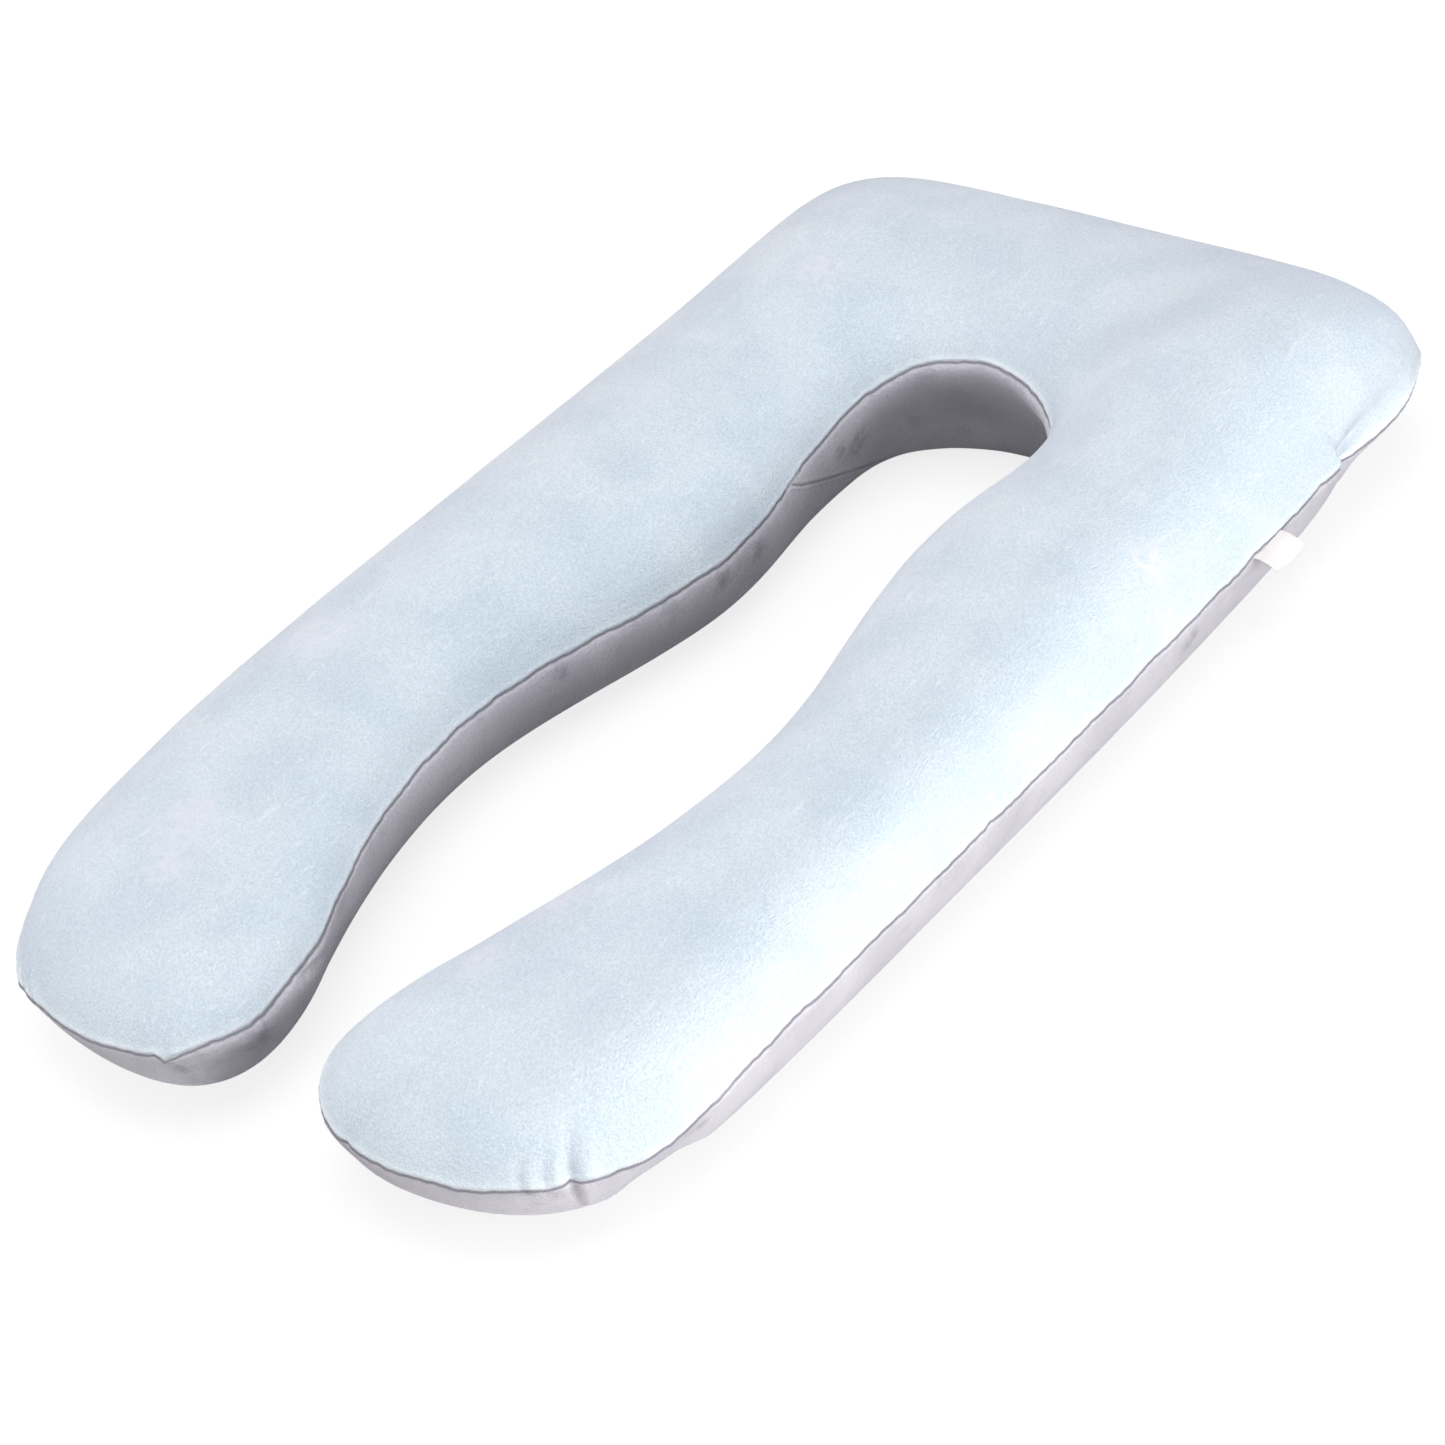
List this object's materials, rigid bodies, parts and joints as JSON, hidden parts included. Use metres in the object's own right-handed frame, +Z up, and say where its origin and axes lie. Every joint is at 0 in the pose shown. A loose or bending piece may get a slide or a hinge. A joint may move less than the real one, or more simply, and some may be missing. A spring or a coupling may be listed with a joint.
{
  "type": "u-shaped pregnancy pillow",
  "caption": "U-shaped pregnancy pillow lying on its back: a crowned, filled body in grey velvet under a light blue velvet top panel, seamed all round.",
  "frame": {"origin": "middle of the box that the whole pillow fills, label included, on the surface it lies on", "axes": "+Z up, away from the surface; +Y along the arms, toward the closed head; +X across, toward the arm that carries the label"},
  "size_m": [0.6964, 1.3048, 0.1924],
  "materials": {
    "grey_velvet": "short-pile mid grey velvet",
    "blue_velvet": "short-pile light blue velvet with a soft nap",
    "label_satin": "plain off-white satin, bare"
  },
  "bodies": {
    "root": {"pillow_body": "grey_velvet", "top_panel": "blue_velvet", "seam_label": "label_satin"}
  },
  "joints": []
}
